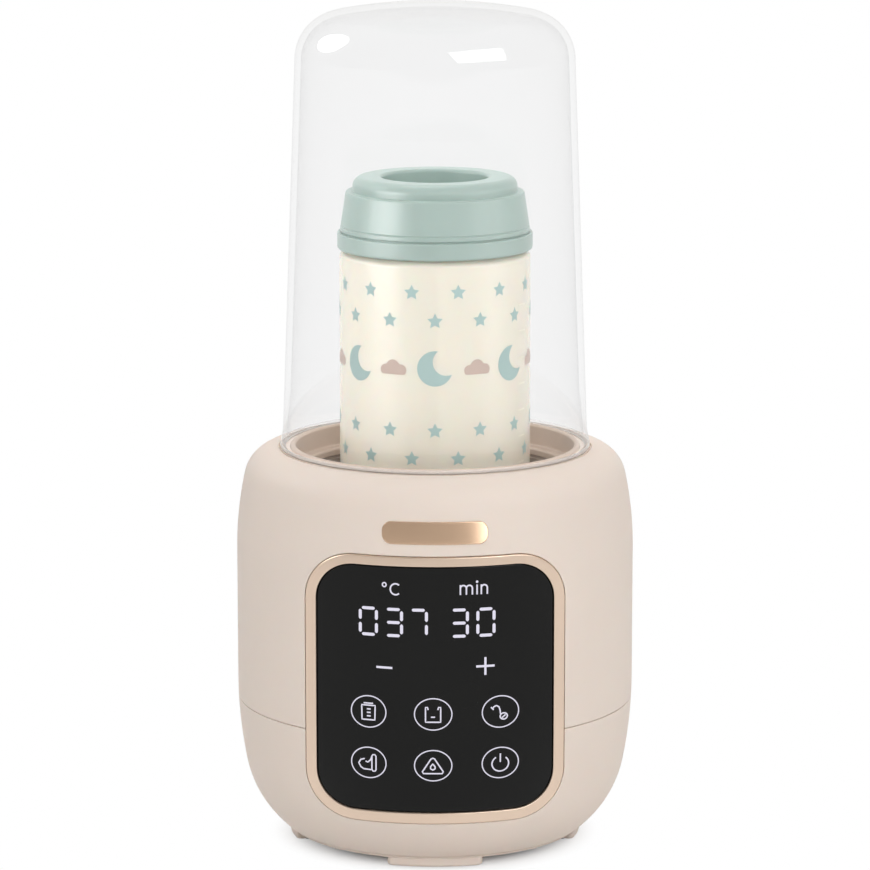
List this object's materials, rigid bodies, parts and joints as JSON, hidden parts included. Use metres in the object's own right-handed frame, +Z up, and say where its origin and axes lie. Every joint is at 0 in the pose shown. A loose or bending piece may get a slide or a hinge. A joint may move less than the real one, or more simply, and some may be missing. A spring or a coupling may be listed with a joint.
{
  "type": "bottle and food warmer",
  "caption": "Round bottle and food warmer with a curved touch panel, a heated chamber, a clear lift-off dome and a lift-out feeding bottle with a screw collar.",
  "frame": {"origin": "centre of the base, on the surface that the foot pads stand on", "axes": "+Z up along the axis of the chamber, dome and bottle; the touch panel faces -Y"},
  "size_m": [0.136, 0.1362, 0.2876],
  "materials": {
    "housing_plastic": "satin moulded plastic, warm pink beige",
    "inner_plastic": "plain moulded plastic",
    "foot_rubber": "soft grey beige rubber",
    "rose_gold": "fine brushed rose gold",
    "panel_glass": "polished black glass",
    "black_plastic": "fine matt black",
    "circuit_board": "green solder mask",
    "display_white": "pale diffuser",
    "screw_steel": "zinc plated",
    "cup_metal": "coated taupe",
    "seal_rubber": "pale silicone",
    "heater_metal": "as cast",
    "heater_tube": "heat-tinted tube",
    "fuse_ceramic": "white ceramic",
    "winding_tape": "yellow tape over a winding",
    "relay_plastic": "blue case",
    "capacitor_sleeve": "dark sleeve",
    "terminal_plastic": "green block",
    "wire_insulation": "red silicone",
    "flat_cable": "grey ribbon",
    "dome_plastic": "clear polished plastic",
    "bottle_plastic": "milky ivory plastic with a pale print",
    "mint_plastic": "satin pale mint"
  },
  "bodies": {
    "warmer": {"upper_housing": "housing_plastic", "lower_housing": "housing_plastic", "bottom_cover": "housing_plastic", "chassis_ring": "inner_plastic", "foot_pad_front": "foot_rubber", "foot_pad_right": "foot_rubber", "foot_pad_rear": "foot_rubber", "foot_pad_left": "foot_rubber", "panel_bezel": "rose_gold", "touch_panel": "panel_glass", "panel_carrier": "black_plastic", "buzzer": "black_plastic", "cord_gland": "black_plastic", "gland_nut": "black_plastic", "display_board": "circuit_board", "main_board": "circuit_board", "display_module": "display_white", "display_screws": "screw_steel", "chamber_screws": "screw_steel", "heater_screws": "screw_steel", "board_screws": "screw_steel", "chassis_screws": "screw_steel", "base_screws": "screw_steel", "touch_springs": "screw_steel", "temperature_sensor": "screw_steel", "heating_chamber": "cup_metal", "chamber_gasket": "seal_rubber", "heater_plate": "heater_metal", "heater_clamp": "heater_metal", "heating_element": "heater_tube", "thermal_fuse": "fuse_ceramic", "transformer": "winding_tape", "relay": "relay_plastic", "capacitor": "capacitor_sleeve", "terminal_block": "terminal_plastic", "heater_leads": "wire_insulation", "display_cable": "flat_cable"},
    "bottle": {"bottle_body": "bottle_plastic"},
    "disc": {"sealing_disc": "mint_plastic"},
    "collar": {"bottle_collar": "mint_plastic"},
    "dome": {"dome_cover": "dome_plastic"}
  },
  "joints": [
    {"name": "bottle_lift", "type": "slide", "parent": "warmer", "child": "bottle", "axis": [0, 0, 1], "range_m": [0, 0.1]},
    {"name": "dome_lift", "type": "slide", "parent": "bottle", "child": "dome", "axis": [0, 0, 1], "range_m": [0, 0.12]},
    {"name": "disc_rise", "type": "slide", "parent": "bottle", "child": "disc", "axis": [0, 0, 1], "range_m": [0, 0.004]},
    {"name": "collar_turn", "type": "hinge", "parent": "disc", "child": "collar", "pos_m": [0, 0, 0.2042], "axis": [0, 0, 1], "range_deg": [0, 360]}
  ],
  "couplings": [
    {"joint": "disc_rise", "follows": "collar_turn", "m_per_rad": 0.0006366}
  ]
}
